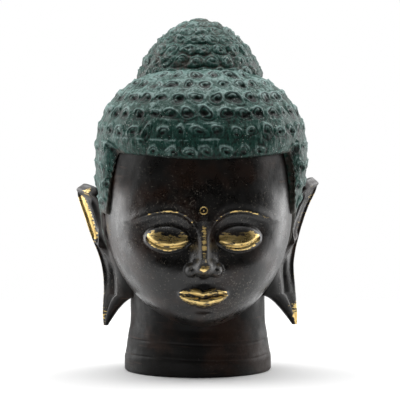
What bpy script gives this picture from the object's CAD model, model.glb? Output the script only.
"""A cast brass buddha head: black-brown patina, green verdigris curls, brass rubbed bright in places."""
import math

import bpy
import numpy as np
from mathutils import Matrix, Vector


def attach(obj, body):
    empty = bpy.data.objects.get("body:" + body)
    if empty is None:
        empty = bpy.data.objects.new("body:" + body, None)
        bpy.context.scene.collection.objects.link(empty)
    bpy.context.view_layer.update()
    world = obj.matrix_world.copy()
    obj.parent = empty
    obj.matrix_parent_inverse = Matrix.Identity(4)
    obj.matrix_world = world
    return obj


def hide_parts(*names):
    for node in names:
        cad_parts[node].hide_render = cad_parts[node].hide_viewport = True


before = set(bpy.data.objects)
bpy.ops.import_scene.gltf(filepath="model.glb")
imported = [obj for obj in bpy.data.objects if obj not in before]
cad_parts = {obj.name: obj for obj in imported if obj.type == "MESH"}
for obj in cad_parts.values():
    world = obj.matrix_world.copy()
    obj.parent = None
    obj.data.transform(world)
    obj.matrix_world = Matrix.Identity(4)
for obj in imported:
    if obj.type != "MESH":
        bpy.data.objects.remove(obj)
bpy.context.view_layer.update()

MM = 0.001
rng = np.random.default_rng(11)

# The casting's driving sizes, in millimetres. They are the solid's, but for HAIR_LIFT and HAIR_SAG, which
# set the hair's edge higher and flatter in front, and LOBE_WIDTH, which is a little less.
CHIN, THIRD = 20.0, 24.0
FACE_HALF = 37.0
EYE_WIDE = 2 * FACE_HALF / 5
NOSE_BASE, BROW, HAIRLINE = CHIN + THIRD, CHIN + 2 * THIRD, CHIN + 3 * THIRD
HEAD_FORWARD = 5.0
SKULL_HALF, SKULL_FRONT, SKULL_BACK, SKULL_RISE = FACE_HALF + 2.6, 42.0, 40.0, 58.0
HAIR_HALF, HAIR_FRONT, HAIR_BACK = SKULL_HALF + 4.6, SKULL_FRONT + 1.0, SKULL_BACK + 9.0
HAIR_RISE, HAIR_DROP, HAIR_SKEW = 38.0, 78.0, 1.2
SIDEBURN_DROP, NAPE_DROP = 26.0, 55.0
HAIR_LIFT, HAIR_SAG, SAG_TURN = 0.9, 1.6, 32.0
HAIR_LIP, HAIR_RIM, HAIR_SLOPE = 4.0, 1.2, 7.0
KNOT_RADIUS, KNOT_LIFT, KNOT_RISE, KNOT_ROOT = 26.6, 29.0, 29.0, 12.0
KNOT_CENTRE = np.array([HAIR_SKEW, 5.0, HAIRLINE + KNOT_LIFT])
NECK_HALF, NECK_DEPTH = 28.6, 27.5
FOOT_HALF, FOOT_DEPTH, FOOT_HEIGHT = 31.3, 30.0, 8.0
NECK_WAIST = CHIN + 4
EAR_TOP, EAR_TIP, EAR_RAISE, LOBE_SWAY, LOBE_FREE = BROW + 12.3, CHIN - 1.5, 1.2, 1.5, 0.78
EAR_REACH, LOBE_REACH = HAIR_HALF + 7.2, SKULL_HALF + 1.7
EAR_WIDTH, LOBE_WIDTH, EAR_THICK, EAR_ROOT, RIM = 22.0, 19.5, 3.0, 5.0, 1.7
URNA_LIFT = 3.4

# Curls: distance along and between rows, radius and height. wide and tall stretch each along its row
# and up; mound, lid, swirl, pit and hollow are shares of the height, raised or cut.
CURLS = {
    "pitch": 7.4, "row_pitch": 7.6, "radius": 2.7, "height": 0.8, "wide": 1.1, "tall": 0.92,
    "mound": 0.55, "lid": 0.85, "swirl": 0.5, "pit": 1.0, "hollow": 1.0,
}
KNOT_CURLS = {
    "pitch": 6.6, "row_pitch": 5.4, "radius": 2.7, "height": 1.0, "wide": 1.3, "tall": 0.95,
    "mound": 1.0, "lid": 0.35, "swirl": 0.25, "pit": 0.6, "hollow": 0.5,
}
CURL_MARGIN = 1.0
HAIR_BED = 0.45

# Whole numbers that scatter a lattice cell and a seed into a random value.
SCATTER_X, SCATTER_Y, SCATTER_Z, SCATTER_SEED = 73856093, 19349663, 83492791, 2654435
SCATTER_AGAIN = 1274126177


def bell(x):
    return np.exp(-np.square(x))


def mix(a, b, t):
    return a + (b - a) * t


def ease(start, end, x):
    t = np.clip((x - start) / (end - start), 0, 1)
    return t * t * (3 - 2 * t)


def power(x, n):
    return np.power(np.maximum(x, 0), n)


def shrink(u, height_power, width_power=2.0):
    return power(1 - power(np.minimum(1, np.abs(u)), height_power), 1 / width_power)


def noise(points, size, seed=0):
    """Smooth random field from -1 to 1, the same on every run: lattice values blended between cells."""
    p = np.asarray(points) / size + 137.3 * (seed + 1)
    cell = np.floor(p).astype(np.int64)
    f = p - cell
    f = f * f * (3 - 2 * f)
    total = 0
    for dx in (0, 1):
        for dy in (0, 1):
            for dz in (0, 1):
                c = cell + (dx, dy, dz)
                h = (c[..., 0] * SCATTER_X) ^ (c[..., 1] * SCATTER_Y) ^ (c[..., 2] * SCATTER_Z)
                h = h ^ (seed * SCATTER_SEED)
                h = (h ^ (h >> 13)) * SCATTER_AGAIN & 0x7FFFFFFF
                h = (h ^ (h >> 16)) & 0xFFFF
                near_x = f[..., 0] if dx else 1 - f[..., 0]
                near_y = f[..., 1] if dy else 1 - f[..., 1]
                near_z = f[..., 2] if dz else 1 - f[..., 2]
                total = total + near_x * near_y * near_z * (h / 32767.5 - 1)
    return total


# Eggs of the skull and of the hair, as in the solid.
def skull_section(z):
    low = z < BROW
    u = (z - BROW) / np.where(low, BROW - CHIN, SKULL_RISE)
    side = SKULL_HALF * np.where(low, shrink(u, 1.9), shrink(u, 3))
    front = SKULL_FRONT * np.where(low, shrink(u, 4, 3), shrink(u, 3))
    return side, front, SKULL_BACK * shrink(u, 2.5)


def cap_section(z):
    low = z < HAIRLINE
    u = (z - HAIRLINE) / np.where(low, HAIR_DROP, HAIR_RISE)
    kept = np.where(low, shrink(u, 2.2), shrink(u, 2.4))
    side = HAIR_HALF * kept * (1 - 0.02 * ease(EAR_TOP + 4, EAR_TOP - 6, z))
    front = np.where(low, HAIR_FRONT + 2 * ease(0, -0.3, u), HAIR_FRONT * kept)
    return side, front, HAIR_BACK * kept


SKULL = (skull_section, 2.3)
CAP = (cap_section, 2.1)


def egg_point(egg, azimuth, z, share=1.0):
    section, n = egg
    azimuth, z = np.broadcast_arrays(azimuth, z)
    side, front, back = section(z)
    across, along = np.sin(azimuth), -np.cos(azimuth)
    depth = np.where(along < 0, front, back)
    least = 1e-6
    total = power(np.abs(across) / np.maximum(side, least), n)
    total = total + power(np.abs(along) / np.maximum(depth, least), n)
    reach = share / power(total, 1 / n)
    return np.stack([across * reach, along * reach - HEAD_FORWARD, z.astype(float)], axis=-1)


# Carving of the face, in the face's own units: a third is 24 units, heights count from the chin.
UNIT = THIRD / 24
MOUTH, NOSE, EYE, BROWS = 16.0, 24.0, 40.0, 48.0
EYE_W, HALF_W = EYE_WIDE / UNIT, FACE_HALF / UNIT


def blend(a, b, soft):
    return np.maximum(a, b) + np.square(np.maximum(0, soft - np.abs(a - b))) / (4 * soft)


def dome(right, up, half_width, half_height, rise):
    return rise * power(1 - np.square(right / half_width) - np.square(up / half_height), 0.5)


def nose_carving(x, z):
    rise, tip_at, bridge_at = 8.8, NOSE + 4.8, BROWS - 1
    out = np.abs(x)
    down = np.clip((bridge_at - z) / (bridge_at - tip_at), 0, 1)
    ridge = mix(2.4, 0.96 * rise, down) * np.exp(-power(out / mix(3, 4.3, down), 1.9))
    fade = ease(bridge_at + 6, bridge_at - 2, z) * ease(NOSE + 0.2, NOSE + 3.4, z)
    tip = dome(x, z - tip_at, 5.1, 4.7, rise)
    wing = dome(out - 5.2, z - NOSE - 3.1, 3, 3, 4.8)
    flanks = 2 * down * bell(out / 8.5) * ease(NOSE - 3, NOSE + 3, z)
    return blend(blend(ridge * fade, tip, 1.6), wing, 1.4) + flanks


def lips_at(x, z):
    """How full the two lips are at a place, each from 0 to 1, and the share of the mouth's width left."""
    out = np.abs(x) / (0.72 * EYE_W)
    span = np.maximum(0, 1 - out * out)
    line = MOUTH + 1.1 * out * out - 0.5 * bell(x / 2.4)
    upper = 3.8 * power(span, 0.75) * (1 - 0.16 * bell(x / 1.6)) + 0.1
    lower = 4.5 * power(span, 0.6) + 0.1
    up = power(np.sin(np.pi * np.clip((z - line) / upper, 0, 1)), 0.6)
    down = power(np.sin(np.pi * np.clip((line - z) / lower, 0, 1)), 0.6)
    return up, down, span


def mouth_carving(x, z):
    up, down, span = lips_at(x, z)
    lips = (2.5 * up + 2.8 * down) * power(span, 0.35)
    muzzle = 2.4 * bell(x / 12) * bell((z - MOUTH) / 9)
    corner = 0.9 * bell((np.abs(x) - 0.78 * EYE_W) / 1.7) * bell((z - MOUTH - 1) / 1.8)
    under_nose = ease(NOSE - 4.4, NOSE - 3, z) * ease(NOSE, NOSE - 1, z)
    return muzzle + lips - corner - 0.7 * bell(x / 1.6) * under_nose


def chin_carving(x, z):
    return 4.6 * bell(x / 9) * bell((z - 4.5) / 4.6) - 1.2 * bell(x / 8) * bell((z - 10) / 1.8)


def brow_line(x):
    t = np.clip((np.abs(x) - 2.6) / (1.8 * EYE_W), 0, 1)
    return BROWS - 6 + 9.3 * np.sin(0.83 * np.pi * power(t, 0.62))


def lid_line(x):
    out = (np.abs(x) - 0.96 * EYE_W) / (0.54 * EYE_W)
    return EYE - 3.6 + np.where(out > 0, 3, 1.4) * np.square(out)


def eye_carving(x, z):
    out = np.abs(x) - EYE_W
    above = z - brow_line(x)
    beside = ease(1, 6.5, np.abs(x))
    fade = beside * ease(2.4, 1.9, np.abs(x) / EYE_W)
    brow = 1.1 * np.exp(-np.square(above / np.where(above > 0, 2.6, 1.2))) * fade
    socket = 3.1 * beside * bell((out + 1.5) / 12) * bell((z - EYE) / 7.5) * ease(0.4, -2.4, above)
    lids = dome(out, z - EYE + 0.4, 0.64 * EYE_W, 5.9, 4.9)
    in_eye = ease(0.62 * EYE_W, 0.5 * EYE_W, np.abs(out))
    from_slit = z - lid_line(x)
    step = np.where(lids > 0, 0.9 * ease(0.4, -0.4, from_slit) * in_eye, 0)
    slit = 0.9 * bell(from_slit / 0.7) * in_eye
    return brow - socket + lids - step - slit


def cheek_carving(x, z):
    return 1.7 * bell((np.abs(x) - 19) / 9) * bell((z - NOSE - 5) / 10)


def carving(x, z):
    carved = nose_carving(x, z) + mouth_carving(x, z) + chin_carving(x, z)
    carved = carved + eye_carving(x, z) + cheek_carving(x, z)
    return carved * ease(HALF_W, 0.84 * HALF_W, np.abs(x))


def gilt_of_face(x, z):
    """How far brass shows where the high carving is rubbed: lids, brow edges, nose and lips."""
    out = np.abs(x) - EYE_W
    lids = dome(out, z - EYE + 0.4, 0.62 * EYE_W, 5.2, 1.0)
    lid = 0.78 * ease(0.15, 0.6, lids) * ease(6.0, 2.0, np.abs(z - lid_line(x) - 1.0))
    along = ease(2.6, 5, np.abs(x)) * ease(2.2, 1.5, np.abs(x) / EYE_W)
    brow = 0.5 * bell((z - brow_line(x) + 0.2) / 0.45) * along
    up, down, span = lips_at(x, z)
    lips = 0.74 * power(np.maximum(up, down), 0.8) * ease(0, 0.3, span)
    tip = 0.6 * bell(x / 2.2) * bell((z - NOSE - 4.6) / 2.2)
    ridge = 0.8 * bell(x / 0.75) * ease(NOSE + 6, NOSE + 9, z) * ease(BROWS, BROWS - 4, z)
    return np.clip(lid + brow + lips + tip + ridge, 0, 1)


# Meshes from grids of points: rows upwards, columns round.
def grid_quads(rows, columns):
    r = np.arange(rows - 1)[:, None]
    c = np.arange(columns)[None, :]
    a, b = r * columns + c, r * columns + (c + 1) % columns
    return np.stack([a, b, b + columns, a + columns], axis=-1).reshape(-1, 4)


def normals_of(grid):
    along = np.roll(grid, -1, axis=1) - np.roll(grid, 1, axis=1)
    normal = np.cross(along, np.gradient(grid, axis=0))
    return normal / np.maximum(np.linalg.norm(normal, axis=-1, keepdims=True), 1e-9)


def closed_faces(rows, columns):
    """Corners of a wrapped grid's quads and of a fan to a point at either end, and each face's size."""
    c = np.arange(columns)
    after = (c + 1) % columns
    low, high, top = rows * columns, rows * columns + 1, (rows - 1) * columns
    quads = grid_quads(rows, columns)
    fans = np.concatenate([
        np.stack([np.full(columns, low), after, c], axis=-1),
        np.stack([np.full(columns, high), top + c, top + after], axis=-1),
    ])
    loops = np.concatenate([quads.reshape(-1), fans.reshape(-1)])
    return loops, np.concatenate([np.full(len(quads), 4), np.full(len(fans), 3)])


def make_piece(name, grid, first, last, fields, flip=False):
    """A closed piece from a wrapped grid and a point at either end. Fields have a value for each point."""
    rows, columns = grid.shape[:2]
    loops, sizes = closed_faces(rows, columns)
    points = np.concatenate([grid.reshape(-1, 3), [first, last]]) * MM
    mesh = bpy.data.meshes.new(name)
    mesh.vertices.add(len(points))
    mesh.vertices.foreach_set("co", points.astype(np.float32).reshape(-1))
    mesh.loops.add(len(loops))
    mesh.loops.foreach_set("vertex_index", loops.astype(np.int32))
    mesh.polygons.add(len(sizes))
    mesh.polygons.foreach_set("loop_start", np.concatenate([[0], np.cumsum(sizes)[:-1]]).astype(np.int32))
    mesh.polygons.foreach_set("use_smooth", np.ones(len(sizes), dtype=bool))
    for field, values in fields.items():
        ends = [values[0].mean(), values[-1].mean()]
        flat = np.concatenate([np.broadcast_to(values, (rows, columns)).reshape(-1), ends])
        mesh.attributes.new(field, "FLOAT", "POINT").data.foreach_set("value", flat.astype(np.float32))
    mesh.update(calc_edges=True)
    mesh.validate()
    if flip:
        mesh.flip_normals()
    piece = bpy.data.objects.new(name, mesh)
    bpy.context.collection.objects.link(piece)
    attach(piece, "root")
    return piece


def make_skin():
    """Skull and carved face, closed, finest in front."""
    chin_rows = CHIN + (BROW - CHIN) * (1 - np.cos(np.linspace(0.02, 0.62, 26))) * 0.9
    face_rows = np.linspace(chin_rows[-1] + 0.36, HAIRLINE + 4, 178)
    crown_rows = np.linspace(HAIRLINE + 7, BROW + 0.9 * SKULL_RISE, 8)
    z = np.concatenate([chin_rows, face_rows, crown_rows])[:, None]
    turn = np.radians(np.concatenate([np.linspace(-96, 96, 250), np.linspace(100, 260, 33)]))
    z = z + 0 * turn
    side, front, back = skull_section(z)
    n = SKULL[1]
    across = np.sign(np.sin(turn)) * power(np.abs(np.sin(turn)), 2 / n)
    along = -np.sign(np.cos(turn)) * power(np.abs(np.cos(turn)), 2 / n)
    x = side * across
    y = np.where(along < 0, front, back) * along - HEAD_FORWARD
    faces_front = ease(0.0, -0.25, along)
    right, up = x / UNIT, (z - CHIN) / UNIT
    grid = np.stack([x, y - UNIT * carving(right, up) * faces_front, z], axis=-1)
    uneven = 0.07 * noise(grid, 6.0, 3) + 0.03 * noise(grid, 2.2, 4)
    grid = grid + normals_of(grid) * uneven[..., None]
    gilt = gilt_of_face(right, up) * faces_front
    first = (0, -HEAD_FORWARD, CHIN)
    last = (0, -HEAD_FORWARD, BROW + 0.93 * SKULL_RISE)
    temples = ease(BROW + 4, HAIRLINE - 8, z) * ease(0.5, 0.85, np.abs(x) / SKULL_HALF)
    return make_piece("face_and_skull", grid, first, last, {"gilt": gilt, "dull": temples})


def neck_rings(turn, level):
    """Depth of two thin engraved rings, fainter in places, and of a soft one above them."""
    low, high, soft, width = 7.4, 13.8, 19.5, 0.36
    ring = np.stack([40 * np.cos(turn), 40 * np.sin(turn), 0 * turn], axis=-1)
    kept = 0.65 + 0.5 * noise(ring, 9.0, 15)
    thin = kept * (0.28 * bell((level - low) / width) + 0.28 * bell((level - high) / width))
    return thin + 0.12 * bell((level - soft) / 1.6)


def make_neck():
    """Neck with engraved rings, flared to a rounded foot."""
    top, bevel = NOSE_BASE + 4, 1.1
    z = np.concatenate([[0.0, 0.1, 0.3, 0.6], np.linspace(0.95, top, 156)])[:, None]
    turn = np.linspace(0, 2 * np.pi, 250, endpoint=False)
    z = z + 0 * turn
    level = z - 0.35 * np.sin(2 * turn + 0.6) - 0.25 * np.sin(3 * turn + 2.0)
    foot = ease(FOOT_HEIGHT + 2, FOOT_HEIGHT - 2.5, level)
    flare = 0.72 * ease(NECK_WAIST, FOOT_HEIGHT, z) + 0.28 * foot
    rounded = bevel - np.sqrt(np.maximum(0, bevel**2 - np.square(np.maximum(0, bevel - z))))
    cut = rounded + neck_rings(turn, level)
    half = mix(NECK_HALF, FOOT_HALF, flare) - cut
    deep = mix(NECK_DEPTH, FOOT_DEPTH, flare) - cut
    grid = np.stack([half * np.cos(turn), deep * np.sin(turn), z], axis=-1)
    uneven = (0.14 * noise(grid, 9.0, 5) + 0.06 * noise(grid, 2.5, 6)) * ease(0, 1.2, z)
    grid = grid + normals_of(grid) * uneven[..., None] * (1, 1, 0)
    fields = {"gilt": 0 * z, "dull": 0.72 + 0.25 * noise(grid, 12.0, 16)}
    return make_piece("neck_and_foot", grid, (0, 0, 0), (0, 0, top), fields)


# Hair: its edge, the places of its curls and their carving.
def hair_edge(turn):
    sideburn = SIDEBURN_DROP * ease(58, 70, turn)
    nape = (NAPE_DROP - SIDEBURN_DROP) * ease(84, 106, turn)
    return HAIRLINE + HAIR_LIFT + HAIR_SAG * (0.4 - bell(turn / SAG_TURN)) - sideburn - nape


UNROLLED = math.radians(1) * HAIR_HALF
EDGE_TURN = np.arange(0, 180.5, 1.0)
EDGE_HEIGHT = hair_edge(EDGE_TURN)


def turn_of(azimuth):
    return np.abs((np.degrees(azimuth) + 540) % 360 - 180)


def from_edge(turn, z):
    """Distance to the hair's edge with the head unrolled flat, below 0 off the hair."""
    turn, z = np.broadcast_arrays(turn, z)
    low = z < HAIRLINE + 3 * HAIR_SLOPE
    gap = np.full(z.shape, 3 * HAIR_SLOPE)
    across = (turn[low][:, None] - EDGE_TURN) * UNROLLED
    gap[low] = np.hypot(across, z[low][:, None] - EDGE_HEIGHT).min(axis=1)
    return gap * np.where(z > hair_edge(turn), 1, -1)


def hair_point(azimuth, z):
    """Point on the hair under its curls: from its edge, close on the skull, it swells to the full cap."""
    azimuth, z = np.broadcast_arrays(azimuth, z)
    swell = np.sin(np.pi / 2 * np.clip(from_edge(turn_of(azimuth), z) / HAIR_SLOPE, 0, 1))
    close = egg_point(SKULL, azimuth, z, 1 + HAIR_RIM / SKULL_HALF)
    point = mix(close, egg_point(CAP, azimuth, z), swell[..., None])
    point[..., 0] += HAIR_SKEW * ease(HAIRLINE - SIDEBURN_DROP, HAIRLINE - CURLS["radius"], z)
    return point


def levels_from(first, pitch, surface):
    """Levels a row pitch apart on a surface, both ways from a first level."""
    fine = 0.002
    levels = [first]
    for way in (fine, -fine):
        ts = np.arange(first, 1 if way > 0 else 0, way)
        line = surface(math.pi / 2, ts)
        risen = 0.0
        for t, gap in zip(ts[1:], np.linalg.norm(np.diff(line, axis=0), axis=-1)):
            risen += gap
            if risen >= pitch:
                risen = 0.0
                levels.append(t)
    return sorted(levels)


def curl_frames(curl, surface, first, keeps):
    """Places of the curls in level rings, each row half a curl on from the last, and their directions."""
    turns = np.linspace(0, 2 * np.pi, 241)
    places = []
    for row, t in enumerate(levels_from(first, curl["row_pitch"], surface)):
        ring = surface(turns, np.full(turns.shape, t))
        gaps = np.linalg.norm(np.diff(ring, axis=0), axis=-1)
        pitch = gaps.sum() / max(3, round(gaps.sum() / curl["pitch"]))
        gone = 0.001 if row % 2 else pitch / 2
        for k, gap in enumerate(gaps):
            gone += gap
            if gone >= pitch:
                gone -= pitch
                if keeps(ring[k + 1], turns[k + 1]):
                    places.append((turns[k + 1], t))
    azimuth, t = np.array(places).T
    azimuth = azimuth + rng.normal(0, 0.4 / HAIR_HALF, len(places))
    along = surface(azimuth + 0.02, t) - surface(azimuth - 0.02, t)
    normal = np.cross(along, surface(azimuth, t + 0.003) - surface(azimuth, t - 0.003))
    return frames_at(surface(azimuth, t), normal)


def frames_at(centre, normal):
    """Each curl's centre, a little off its row, with its level direction and the way up over it."""
    normal = normal / np.linalg.norm(normal, axis=-1, keepdims=True)
    side = np.cross((0, 0, 1), normal)
    side /= np.maximum(np.linalg.norm(side, axis=-1, keepdims=True), 1e-6)
    up = np.cross(normal, side)
    return centre + up * rng.normal(0, 0.3, len(centre))[:, None], side, up


def curl_depth(centre):
    """How hollow each curl is: shallow in front over the brow, deep higher up and at the sides."""
    turn = np.degrees(np.arctan2(np.abs(centre[:, 0]), -centre[:, 1] - HEAD_FORWARD))
    higher_up = mix(0.4, 1, ease(HAIRLINE + 7, HAIRLINE + 17, centre[:, 2]))
    return np.maximum(higher_up, 0.8 * ease(32, 60, turn))


def curl_makes(curl, frames):
    """Each curl's make: its place and directions, and its random size, depth, lean, outline and pit."""
    centre, side, up = frames
    count = len(centre)
    make = {"centre": centre, "side": side, "up": up}
    make["wide"] = curl["radius"] * curl["wide"] * (1 + 0.13 * rng.standard_normal(count))
    make["tall"] = curl["radius"] * curl["tall"] * (1 + 0.13 * rng.standard_normal(count))
    make["lift"] = curl["height"] * (1 + 0.16 * rng.standard_normal(count))
    make["deep"] = curl["hollow"] * curl_depth(centre) * rng.uniform(0.6, 1.0, count)
    make["wide"] = make["wide"] * (1 + 0.18 * make["deep"])
    make["tall"] = make["tall"] * (1 + 0.12 * make["deep"])
    make["lean"] = rng.normal(0, 0.25, count)
    make["tilt"] = rng.normal(0, 0.5, count)
    make["wave"] = rng.uniform(0, 2 * np.pi, (2, count)).T
    make["hand"] = np.where(rng.random(count) < 0.7, 1, -1)
    make["pit"] = rng.normal((0, -0.18), 0.13, (count, 2))
    return make


def curl_forms(points, curl, make):
    """What one curl for each point raises there, what it cuts, and how dark it is in its hollows."""
    off = points - make["centre"]
    u = (off * make["side"]).sum(axis=-1) / make["wide"]
    v = (off * make["up"]).sum(axis=-1) / make["tall"] + make["lean"] * u
    turn = np.arctan2(v, u)
    uneven = 0.12 * np.cos(2 * turn + make["wave"][:, 0]) + 0.09 * np.cos(3 * turn + make["wave"][:, 1])
    r = np.hypot(u, v) * (1 + uneven)
    above = ease(-0.5, 0.6, np.sin(turn - make["tilt"]))
    lid = bell((r - 0.76) / 0.2) * above
    swirl = bell((r - 0.4) / 0.15) * ease(-0.7, 0.3, np.sin(turn - make["tilt"] - 1.1 * make["hand"]))
    pit = curl["pit"] * bell(np.hypot(u - make["pit"][:, 0], 1.2 * (v - make["pit"][:, 1])) / 0.3)
    groove = bell((r - 0.58) / 0.11) * above
    under = bell((r - 1.0) / 0.16) * (1 - above)
    hollow = make["deep"] * ease(0.95, 0.6, r) * ease(0.75, 0.1, v)
    raised = curl["mound"] * power(1 - r * r, 1.1) + curl["lid"] * lid + curl["swirl"] * swirl
    cut = pit + 0.3 * groove + 0.25 * under + 0.75 * hollow
    dark = np.maximum(np.maximum(pit, 0.62 * groove), 0.5 * under)
    dark = np.maximum(dark, 0.72 * hollow * (1 - 0.6 * swirl))
    return make["lift"] * raised, make["lift"] * cut, dark


def curl_relief(points, curl, frames):
    """Height of the curls above the hair at these points, from the three nearest, and how dark it is."""
    at_once = 20000
    makes = curl_makes(curl, frames)
    flat = points.reshape(-1, 3)
    height, dark = np.zeros(len(flat)), np.zeros(len(flat))
    for start in range(0, len(flat), at_once):
        part = flat[start : start + at_once]
        gap = np.square(part[:, None, :] - makes["centre"]).sum(axis=-1)
        nearest = np.argpartition(gap, 2, axis=1)[:, :3]
        raised, carved, shade = np.zeros((3, len(part)))
        for i in nearest.T:
            rise, cut, deep = curl_forms(part, curl, {key: values[i] for key, values in makes.items()})
            raised = np.maximum(raised, rise)
            carved = np.maximum(carved, cut)
            shade = np.maximum(shade, deep)
        height[start : start + at_once] = raised - carved
        dark[start : start + at_once] = shade
    return height.reshape(points.shape[:-1]), dark.reshape(points.shape[:-1])


def crumpled(points, size, seed):
    """Sharp-ridged uneven field from -1 to 1."""
    return 1 - 2 * np.abs(noise(points, size, seed))


def cast_surface(grid, seed):
    """Uneven skin of the cast hair: soft lumps, strokes that run down it, and level waves higher up."""
    lumps = 0.17 * noise(grid, 3.4, seed) + 0.1 * crumpled(grid, 2.0, seed + 1)
    higher_up = ease(HAIRLINE + 8, HAIRLINE + 20, grid[..., 2])
    waves = 0.26 * crumpled(grid * (0.4, 0.4, 1), 3.0, seed + 3) * higher_up
    return lumps + waves + 0.07 * noise(grid * (1, 1, 0.3), 0.8, seed + 2)


def crumple(grid, seed):
    """Skin of the topknot: short broken ridges that lie along its rows."""
    coarse = 0.3 * crumpled(grid * (0.7, 0.7, 1.1), 2.6, seed)
    fine = 0.1 * crumpled(grid * (0.8, 0.8, 1.2), 1.3, seed + 1)
    return coarse + fine - 0.1 + 0.05 * noise(grid, 0.8, seed + 2)


def casting_line(grid):
    """Two thin raised lines left by the mould, level across the front."""
    x, z = grid[..., 0], grid[..., 2]
    low = bell((z - HAIRLINE - 8.2 - 0.3 * np.sin(x / 7)) / 0.36) * ease(-37, -33, x) * ease(9, 6, x)
    high = bell((z - HAIRLINE - 14.6 - 0.2 * np.sin(x / 4)) / 0.36) * ease(-11, -9, x) * ease(9, 6, x)
    return np.maximum(low, 0.8 * high) * (grid[..., 1] < 0) * ease(-0.6, -0.2, noise(grid, 3.0, 31))


def cap_frames():
    """Places and directions of the cap's curls, clear of its edge and of the topknot."""
    foot, top = HAIRLINE - NAPE_DROP, HAIRLINE + 0.995 * HAIR_RISE

    def surface(azimuth, t):
        return hair_point(azimuth, mix(foot, top, 1 - power(np.cos(t * np.pi / 2), 0.9)))

    def keeps(place, azimuth):
        from_knot = math.hypot(place[0] - KNOT_CENTRE[0], place[1] - KNOT_CENTRE[1]) - KNOT_RADIUS
        if place[2] > HAIRLINE + 0.25 * HAIR_RISE and from_knot < 1:
            return False
        return from_edge(turn_of(azimuth), place[2]) > CURLS["radius"]

    first_row = HAIRLINE + CURLS["radius"] + CURL_MARGIN
    first = 2 / math.pi * math.acos((1 - (first_row - foot) / (top - foot)) ** (1 / 0.9))
    return curl_frames(CURLS, surface, first, keeps)


def hair_columns():
    """Azimuths of the hair's columns all the way round, closer in front and where the edge falls."""
    turn = np.linspace(0, 180, 3601)
    step = turn[1] - turn[0]
    fall = np.abs(np.gradient(hair_edge(turn), turn)) * step
    wide = np.where(turn < 112, 0.44, 0.8)
    gone = np.concatenate([[0], np.cumsum(np.hypot(step * UNROLLED, 0.4 * fall) / wide)[:-1]])
    half = np.interp(np.arange(0, gone[-1]), gone, turn)
    return np.radians(np.concatenate([half, 360 - half[1:][::-1]]))


def hair_rows(azimuth, edge, top):
    """Heights of the hair's rows, evenly spaced up its surface, and how far each is from the edge."""
    count = 172
    quarter = np.linspace(0, np.pi / 2, 300)[:, None]
    z = edge + (top - edge) * (np.sin(quarter) + 1 - np.cos(quarter)) / 2
    steps = np.linalg.norm(np.diff(hair_point(azimuth, z), axis=0), axis=-1)
    length = np.concatenate([np.zeros((1, len(azimuth))), np.cumsum(steps, axis=0)])
    share = np.linspace(0, 1, count)
    rows = [np.interp(share * run[-1], run, column) for run, column in zip(length.T, z.T)]
    return np.stack(rows, axis=1), share[:, None] * length[-1]


def hair_underside(azimuth, edge):
    """Line inside the skull below the hair's edge, square to the edge."""
    slope = np.interp(turn_of(azimuth), EDGE_TURN, np.gradient(EDGE_HEIGHT, EDGE_TURN)) / UNROLLED
    size = np.hypot(1, slope)
    aside = np.sign(np.sin(azimuth)) * np.radians(HAIR_LIP * slope / size / UNROLLED)
    return egg_point(SKULL, azimuth + aside, edge - HAIR_LIP / size, 0.8)


def make_hair():
    """Hair cap: curls outside, a thin edge, and an under-surface inside the skull."""
    azimuth = hair_columns()
    turn = turn_of(azimuth)
    edge = hair_edge(turn)
    top = HAIRLINE + 0.965 * HAIR_RISE
    z, arc = hair_rows(azimuth, edge, top)
    grid = hair_point(azimuth, z)
    normal = normals_of(grid)
    height, dark = curl_relief(grid, CURLS, cap_frames())
    line = casting_line(grid)
    height = (HAIR_BED + height + cast_surface(grid, 7) + 0.28 * line) * ease(0, 1.8, arc)
    rounded = HAIR_RIM * (1 - np.sqrt(1 - np.square(1 - np.clip(arc / HAIR_RIM, 0, 1))))
    outer = grid + normal * (height - rounded)[..., None]
    inner = hair_underside(azimuth, edge)
    stack = np.concatenate([inner[None], mix(outer[0], inner, 0.35)[None], outer])
    bare = np.zeros((2, len(azimuth)))
    ridge = (height - HAIR_BED) / CURLS["height"] + line + 0.55 * ease(0.35, 0.95, normal[..., 2])
    worn = ease(4.5, 0.5, arc) * ease(40, 55, turn)
    values = {"ridge": ridge, "dark": dark, "worn": worn}
    fields = {field: np.concatenate([bare, value]) for field, value in values.items()}
    first, last = (0, -HEAD_FORWARD, NOSE_BASE + 12), (HAIR_SKEW, -HEAD_FORWARD, top - 2)
    return make_piece("hair_cap", stack, first, last, fields)


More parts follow.
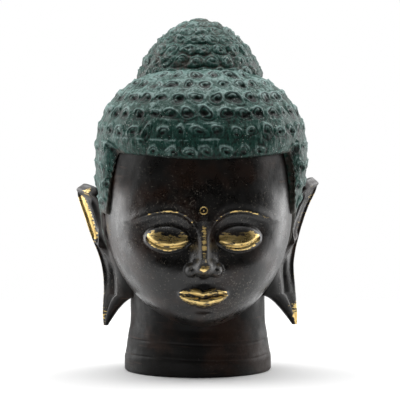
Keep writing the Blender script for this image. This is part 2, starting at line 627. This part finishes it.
def make_knot():
    """Topknot of curls, its root sunk in the hair."""
    rise = KNOT_RISE - HAIR_BED - KNOT_CURLS["height"]

    def surface(azimuth, t):
        azimuth, t = np.broadcast_arrays(azimuth, t)
        angle = mix(-0.14, math.pi / 2, t)
        z = rise * np.sign(angle) * power(np.abs(np.sin(angle)), 1.25)
        reach = KNOT_RADIUS * power(np.abs(np.cos(angle)), 1.12)
        return np.stack([reach * np.sin(azimuth), -reach * np.cos(azimuth), z], axis=-1) + KNOT_CENTRE

    below_tip = KNOT_CENTRE[2] + rise - KNOT_CURLS["height"]
    frames = curl_frames(KNOT_CURLS, surface, 0.1, lambda place, _: place[2] < below_tip)
    tip = (KNOT_CENTRE + (0, 0, rise), (1, 0, 0), (0, 1, 0))
    frames = [np.concatenate([part, [extra]]) for part, extra in zip(frames, tip)]
    azimuth = np.linspace(0, 2 * np.pi, 420, endpoint=False)
    ts = np.linspace(0, 0.9985, 500)
    steps = np.linalg.norm(np.diff(surface(0.0, ts), axis=0), axis=-1)
    length = np.concatenate([[0], np.cumsum(steps)])
    t = np.interp(np.linspace(0, length[-1], 132), length, ts)[:, None]
    grid = surface(azimuth, t)
    normal = normals_of(grid)
    height, dark = curl_relief(grid, KNOT_CURLS, frames)
    height = HAIR_BED + height + crumple(grid, 21)
    outer = grid + normal * height[..., None]
    root = KNOT_CENTRE - (0, 0, KNOT_ROOT)
    foot = root + (surface(azimuth, 0.0) - KNOT_CENTRE) * (0.86, 0.86, 0)
    stack = np.concatenate([foot[None], outer])
    bare = np.zeros((1, len(azimuth)))
    ridge = (height - HAIR_BED) / KNOT_CURLS["height"] + 0.45 * ease(0.45, 0.95, normal[..., 2]) - 0.2
    values = {"ridge": ridge, "dark": dark, "worn": 0.38 + 0.22 * noise(grid, 5.0, 24)}
    fields = {field: np.concatenate([bare, value]) for field, value in values.items()}
    return make_piece("topknot", stack, root, outer[-1].mean(axis=0) + (0, 0, 0.02), fields)


# Ears. s runs from the top to the tip of the lobe, t from the edge in the head to the free rim.
def ear_bow(side, s):
    """How far each ear bends in towards the head on its way down, the left one more at the top."""
    if side > 0:
        bend = 0.8 * ease(0.08, 0.2, s) + 1.7 * bell((s - 0.6) / 0.13)
        return bend * ease(1.05, 0.85, s) - 0.4 * ease(0.3, 0, s)
    return 1.25 * ease(0.95, 0.4, s) + 1.1 * bell((s - 0.21) / 0.13)


def ear_place(side, s, t, out):
    """Point at a distance out from an ear's plate, on the +X side for both ears, as the left is mirrored."""
    top = np.sqrt(1 - np.square(1 - np.clip(s / 0.09, 0, 1)))
    upper = ease(0.59 - 0.09 * side, -0.055 * side, s)
    reach = mix(LOBE_REACH + side * LOBE_SWAY, EAR_REACH, upper) - 2.5 * (1 - top) - ear_bow(side, s)
    back = mix(13, 5, ease(0, 0.7, s)) - 5 * (1 - top)
    width = mix(EAR_WIDTH, LOBE_WIDTH + side * LOBE_SWAY, ease(0.1, 0.6, s)) * mix(0.6, 1, top)
    kept = width * (1 - 0.9 * power((s - LOBE_FREE) / (1 - LOBE_FREE), 0.55)) * (1 - t)
    rim_turn = np.radians(mix(33, 49, s))
    facing = mix(np.radians(8 + 4 * s + 40 * ease(0.45, 0.75, s)), rim_turn, t)
    flare = (facing + rim_turn) / 2
    x = reach - kept * np.sin(flare) + out * np.cos(facing)
    y = back - kept * np.cos(flare) - out * np.sin(facing)
    z = mix(EAR_TOP + side * EAR_RAISE, EAR_TIP, s) - 1.5 * (1 - t) * ease(0.2, 0, s)
    return np.stack(np.broadcast_arrays(x, y, z), axis=-1)


def ear_carving(s, t):
    """Relief of the ear: a rim over the top and down, a ridge that meets it, hollow, trough, flap, fold."""
    rim = 0.5 * bell((t - 0.96) / 0.05) * ease(0.8, 0.6, s)
    top_rim = bell((s - 0.035) / 0.03)
    meets = 0.6 * bell((s - 0.44 + 0.1 * (t - 0.6)) / 0.03) * ease(0.5, 0.62, t) * ease(1.0, 0.86, t)
    ridge_at = mix(0.34, 0.66, ease(0.12, 0.44, s))
    ridge = bell((t - ridge_at) / 0.075) * ease(0.05, 0.14, s) * ease(0.6, 0.44, s)
    hollow = 0.9 * bell((t - mix(0.54, 0.68, s)) / 0.1) * bell((s - 0.24) / 0.13)
    trough = 0.2 * bell((t - 0.76) / 0.06) * ease(0.08, 0.14, s) * ease(0.44, 0.4, s)
    flap = 0.76 * bell((t - 0.14) / 0.1) * bell((s - 0.34) / 0.07)
    fold = 0.4 * bell((t - 0.66) / 0.07) * ease(0.44, 0.52, s) * ease(1.0, 0.85, s)
    return RIM * (np.maximum(np.maximum(rim, top_rim), meets) + ridge + flap - hollow - trough - fold)


def ear_gilt(side, s, t):
    """Brass rubbed through by the rim, on the top, the lobe's tip and the edge, not alike on both ears."""
    trough = bell((t - 0.86) / 0.12) * ease(0.05, 0.12, s) * ease(0.46, 0.34, s)
    crown = bell((s - 0.04) / 0.03) * bell((t - 0.5) / 0.2)
    tip = ease(0.8, 0.93, s) * ease(0.2, 0.7, t)
    edge = ease(0.93, 0.98, t) * ease(0.0, 0.1, s)
    weights = (0.22, 0.3, 0.8, 0.52) if side > 0 else (1.1, 0.72, 0.36, 0.62)
    return np.clip(sum(w * part for w, part in zip(weights, (trough, crown, tip, edge))), 0, 1)


def edge_rounding(t):
    """Share of the ear's thickness left near its two long edges."""
    from_edges = np.clip(np.maximum((t - 0.94) / 0.06, (0.16 - t) / 0.16), 0, 1)
    return mix(0.2, 1, np.sqrt(1 - np.square(from_edges)))


def make_ear(name, side):
    """Ear on the +X side (side 1) or the -X side (side -1), carved in front and thicker at its root."""
    top_rows, tip_rows = [0.0015, 0.004, 0.009, 0.016], [0.992, 0.997, 1.0]
    s = np.concatenate([top_rows, np.linspace(0.025, 0.985, 200), tip_rows])[:, None]
    across, behind = np.linspace(0, 1, 90)[None, :], np.linspace(1, 0, 40)[None, :]
    thin = mix(0.4, 1, np.minimum(ease(0, 0.05, s), ease(1.02, 0.9, s)))
    half = EAR_THICK / 2 * thin
    root = mix(half, EAR_ROOT, ease(LOBE_FREE, 0.6, s) * ease(0, 0.05, s))
    outer = half + thin * ear_carving(s, across)
    inner = mix(root, half, ease(0, 0.6, behind))
    front = ear_place(side, s, across, outer * edge_rounding(across))
    back = ear_place(side, s, behind, -inner * edge_rounding(behind))
    grid = np.concatenate([front, back], axis=1)
    grid = grid + 0.06 * noise(grid, 2.5, 12)[..., None] * (1, 0.3, 0)
    grid[..., 0] *= side
    gilt = np.concatenate([ear_gilt(side, s, across), 0 * s * behind], axis=1)
    dull = np.concatenate([0.9 * ease(0.66, 0.22, across) + 0 * s, 0.5 + 0 * s * behind], axis=1)
    fields = {"gilt": gilt, "dull": dull}
    return make_piece(name, grid, grid[0].mean(axis=0), grid[-1].mean(axis=0), fields, flip=side > 0)


def make_urna():
    """Small ring with a dot, between the brows."""
    r = np.linspace(0.05, 2.1, 22)[:, None]
    turn = np.linspace(0, 2 * np.pi, 48, endpoint=False)
    x, z = r * np.cos(turn), BROW + URNA_LIFT + r * np.sin(turn)
    side, front, _ = skull_section(z)
    base = -HEAD_FORWARD - front * power(1 - power(np.abs(x) / side, SKULL[1]), 1 / SKULL[1])
    base = base - UNIT * carving(x / UNIT, (z - CHIN) / UNIT)
    rise = 0.75 * bell((r - 1.45) / 0.34) + 0.6 * bell(r / 0.55) - 0.25 * ease(1.8, 2.1, r)
    skin = np.stack([x, base - rise, z], axis=-1)
    rim = skin[-1] + (0, 1.2, 0)
    stack = np.concatenate([skin, rim[None]])
    gilt = np.concatenate([0.85 * ease(0.25, 0.6, rise) + 0 * x, np.zeros((1, len(turn)))])
    return make_piece("urna", stack, skin[0].mean(axis=0), rim.mean(axis=0), {"gilt": gilt}, flip=True)


# Materials.
class Nodes:
    """Short calls for one node tree."""

    def __init__(self, tree):
        self.tree = tree
        tree.nodes.clear()

    def node(self, kind, **settings):
        node = self.tree.nodes.new(kind)
        for key, value in settings.items():
            setattr(node, key, value)
        return node

    def put(self, value, socket):
        if isinstance(value, bpy.types.NodeSocket):
            self.tree.links.new(value, socket)
        else:
            socket.default_value = value

    def attribute(self, name):
        return self.node("ShaderNodeAttribute", attribute_name=name).outputs["Fac"]

    def noise(self, scale, detail=2.0, roughness=0.5, stretch=(1, 1, 1)):
        mapping = self.node("ShaderNodeMapping")
        self.put(self.node("ShaderNodeTexCoord").outputs["Object"], mapping.inputs["Vector"])
        mapping.inputs["Scale"].default_value = stretch
        node = self.node("ShaderNodeTexNoise")
        self.put(mapping.outputs["Vector"], node.inputs["Vector"])
        node.inputs["Scale"].default_value = scale
        node.inputs["Detail"].default_value = detail
        node.inputs["Roughness"].default_value = roughness
        return node.outputs["Fac"]

    def map(self, value, low, high, to_low=0.0, to_high=1.0):
        node = self.node("ShaderNodeMapRange", interpolation_type="SMOOTHSTEP")
        self.put(value, node.inputs["Value"])
        limits = {"From Min": low, "From Max": high, "To Min": to_low, "To Max": to_high}
        for key, number in limits.items():
            node.inputs[key].default_value = number
        return node.outputs["Result"]

    def math(self, operation, a, b=0.0):
        node = self.node("ShaderNodeMath", operation=operation)
        self.put(a, node.inputs[0])
        self.put(b, node.inputs[1])
        return node.outputs["Value"]

    def colours(self, factor, a, b):
        node = self.node("ShaderNodeMix", data_type="RGBA")
        self.put(factor, node.inputs["Factor"])
        self.put(a, node.inputs[6])
        self.put(b, node.inputs[7])
        return node.outputs[2]

    def bump(self, height, strength, distance):
        node = self.node("ShaderNodeBump")
        node.inputs["Strength"].default_value = strength
        node.inputs["Distance"].default_value = distance
        self.put(height, node.inputs["Height"])
        return node.outputs["Normal"]


def shader(name):
    material = bpy.data.materials.new(name)
    material.use_nodes = True
    nodes = Nodes(material.node_tree)
    output = nodes.node("ShaderNodeOutputMaterial")
    bsdf = nodes.node("ShaderNodeBsdfPrincipled")
    nodes.put(bsdf.outputs["BSDF"], output.inputs["Surface"])
    return material, nodes, bsdf


def patina_material():
    """Black patina with brown patches and specks, dull in places, and brass where it is rubbed through."""
    material, n, bsdf = shader("patina")
    dull = n.attribute("dull")
    brown = n.map(n.noise(48, 5, 0.62), 0.46, 0.64)
    dusting = n.math("ADD", n.noise(1300, 3, 0.6), n.math("MULTIPLY", n.noise(30, 2), 0.3))
    specks = n.math("MULTIPLY", n.map(dusting, 0.75, 0.84), n.map(dull, 0.2, 0.6, 0.5, 0.05))
    dark = n.colours(brown, (0.004, 0.0036, 0.0032, 1), (0.019, 0.0095, 0.006, 1))
    dark = n.colours(specks, dark, (0.2, 0.18, 0.15, 1))
    scratches = n.map(n.noise(520, 4, 0.6, stretch=(0.1, 0.1, 1.5)), 0.58, 0.7)
    dark = n.colours(n.math("MULTIPLY", scratches, n.map(dull, 0.5, 0.9)), dark, (0.035, 0.02, 0.014, 1))
    streaks = n.noise(900, 4, 0.6, stretch=(0.3, 0.3, 1.3))
    blots = n.noise(420, 4, 0.6)
    ragged = n.math("ADD", n.math("MULTIPLY", streaks, 2.6), n.math("MULTIPLY", blots, 1.2))
    gilt = n.attribute("gilt")
    rubbed = n.map(n.math("ADD", gilt, n.math("SUBTRACT", ragged, 1.9)), 0.42, 0.66)
    rubbed = n.math("MULTIPLY", rubbed, n.map(gilt, 0.12, 0.34))
    brass = n.colours(n.noise(300, 3), (0.52, 0.33, 0.09, 1), (0.98, 0.76, 0.34, 1))
    n.put(n.colours(rubbed, dark, brass), bsdf.inputs["Base Color"])
    n.put(rubbed, bsdf.inputs["Metallic"])
    rough = n.map(n.noise(160, 4, 0.6), 0.3, 0.7, 0.24, 0.4)
    n.put(n.math("ADD", rough, n.math("MULTIPLY", dull, 0.18)), bsdf.inputs["Roughness"])
    n.put(n.map(dull, 0, 1, 0.5, 0.08), bsdf.inputs["Specular IOR Level"])
    grain = n.math("ADD", n.noise(1100, 4, 0.6), n.math("MULTIPLY", n.noise(210, 3), 1.4))
    n.put(n.bump(grain, 0.25, 0.00028), bsdf.inputs["Normal"])
    return material


def verdigris_material():
    """Green verdigris, dark in the pits, pale where it is brushed off and brown where it is worn."""
    material, n, bsdf = shader("verdigris")
    ridge, dark, worn = n.attribute("ridge"), n.attribute("dark"), n.attribute("worn")
    broad = n.map(n.noise(40, 3), 0.36, 0.66)
    deep = n.colours(broad, (0.003, 0.009, 0.0065, 1), (0.005, 0.017, 0.0125, 1))
    mid = n.colours(broad, (0.009, 0.056, 0.040, 1), (0.02, 0.086, 0.068, 1))
    pale = n.colours(n.noise(240, 4, 0.6), (0.085, 0.19, 0.17, 1), (0.34, 0.46, 0.44, 1))
    patchy = n.math("SUBTRACT", n.noise(560, 5, 0.68), 0.5)
    strokes = n.math("SUBTRACT", n.noise(900, 4, 0.65, stretch=(1, 1, 0.2)), 0.5)
    brushed = n.math("ADD", n.math("MULTIPLY", patchy, 2.6), n.math("MULTIPLY", strokes, 2.9))
    high = n.math("ADD", ridge, brushed)
    colour = n.colours(n.map(high, -0.6, 0.2), deep, mid)
    colour = n.colours(n.map(high, 0.25, 1.25, 0, 0.9), colour, pale)
    colour = n.colours(n.map(dark, 0.18, 0.7, 0, 0.94), colour, (0.0022, 0.0045, 0.0035, 1))
    bare = n.map(n.math("ADD", n.math("MULTIPLY", worn, 0.45), n.noise(300, 4, 0.65)), 0.66, 0.86, 0, 0.7)
    colour = n.colours(bare, colour, (0.066, 0.052, 0.042, 1))
    dusting = n.math("ADD", n.noise(1500, 2, 0.6), n.math("MULTIPLY", n.noise(90, 2), 0.3))
    colour = n.colours(n.map(dusting, 0.83, 0.9), colour, (0.5, 0.56, 0.52, 1))
    n.put(colour, bsdf.inputs["Base Color"])
    n.put(n.map(n.noise(260, 4, 0.6), 0.3, 0.7, 0.36, 0.56), bsdf.inputs["Roughness"])
    bsdf.inputs["Specular IOR Level"].default_value = 0.3
    rough = n.math("ADD", n.noise(800, 4, 0.65), n.noise(900, 3, 0.6, stretch=(1, 1, 0.25)))
    n.put(n.bump(rough, 0.5, 0.0005), bsdf.inputs["Normal"])
    return material


def floor_material():
    """White table that fades into the white surround away from the head."""
    material, n, bsdf = shader("floor_white")
    bsdf.inputs["Base Color"].default_value = (0.93, 0.93, 0.93, 1)
    bsdf.inputs["Roughness"].default_value = 0.7
    bsdf.inputs["Specular IOR Level"].default_value = 0.1
    away = n.node("ShaderNodeVectorMath", operation="LENGTH")
    n.put(n.node("ShaderNodeTexCoord").outputs["Object"], away.inputs[0])
    n.put(n.map(away.outputs["Value"], 0.12, 0.3, 1, 0), bsdf.inputs["Alpha"])
    return material


# Stage: floor, world, lights and camera.
def make_floor():
    bpy.ops.mesh.primitive_circle_add(vertices=96, radius=0.32, fill_type="NGON", location=(0, 0, 0))
    floor = bpy.context.object
    floor.name = "floor"
    floor.data.materials.append(floor_material())


def make_world():
    """White behind, above and at the sides, dark in front of the head, and plain white as a backdrop."""
    world = bpy.data.worlds.new("studio")
    bpy.context.scene.world = world
    world.use_nodes = True
    n = Nodes(world.node_tree)
    way = n.node("ShaderNodeSeparateXYZ")
    n.put(n.node("ShaderNodeTexCoord").outputs["Generated"], way.inputs[0])
    round_back = n.map(way.outputs["Y"], -0.5, 0.3, 0.03, 1.0)
    overhead = n.map(way.outputs["Z"], 0.25, 0.95, 0.0, 0.8)
    studio = n.node("ShaderNodeBackground")
    n.put(n.math("MAXIMUM", round_back, overhead), studio.inputs["Strength"])
    plain = n.node("ShaderNodeBackground")
    plain.inputs["Color"].default_value = (1, 1, 1, 1)
    pick = n.node("ShaderNodeMixShader")
    n.put(n.node("ShaderNodeLightPath").outputs["Is Camera Ray"], pick.inputs["Fac"])
    n.put(studio.outputs[0], pick.inputs[1])
    n.put(plain.outputs[0], pick.inputs[2])
    n.put(pick.outputs[0], n.node("ShaderNodeOutputWorld").inputs["Surface"])


def make_light(name, place, target, size, watts):
    light = bpy.data.lights.new(name, "AREA")
    light.shape = "RECTANGLE"
    light.size, light.size_y = size
    light.energy = watts
    lamp = bpy.data.objects.new(name, light)
    bpy.context.collection.objects.link(lamp)
    lamp.location = place
    lamp.rotation_euler = (Vector(target) - Vector(place)).to_track_quat("-Z", "Y").to_euler()


def make_camera():
    sensor, picture_pixels, pixels_per_mm = 36.0, 400, 2.347
    azimuth, elevation, distance = math.radians(-3), math.radians(4), 1.15
    target = Vector((0.00098, 0, 0.0724))
    level = math.cos(elevation)
    back = Vector((math.sin(azimuth) * level, -math.cos(azimuth) * level, math.sin(elevation)))
    data = bpy.data.cameras.new("camera")
    data.sensor_width = sensor
    data.lens = sensor * distance / (picture_pixels / pixels_per_mm * MM)
    camera = bpy.data.objects.new("camera", data)
    bpy.context.collection.objects.link(camera)
    camera.location = target + back * distance
    camera.rotation_euler = (-back).to_track_quat("-Z", "Y").to_euler()
    bpy.context.scene.camera = camera


patina, verdigris = patina_material(), verdigris_material()
skin = make_skin()
for piece in (skin, make_neck(), make_ear("ear_right", 1), make_ear("ear_left", -1), make_urna()):
    piece.data.materials.append(patina)
for piece in (make_hair(), make_knot()):
    piece.data.materials.append(verdigris)
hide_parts("buddha_head")

make_floor()
make_world()
make_light("side_left", (-0.75, 0.38, 0.25), (0, 0, 0.08), (0.6, 1.0), 6)
make_light("side_right", (0.75, 0.38, 0.25), (0, 0, 0.08), (0.6, 1.0), 6)
make_light("top", (0, 0.1, 0.9), (0, 0, 0.1), (0.9, 0.6), 6)
make_camera()
bpy.context.scene.view_settings.view_transform = "Standard"
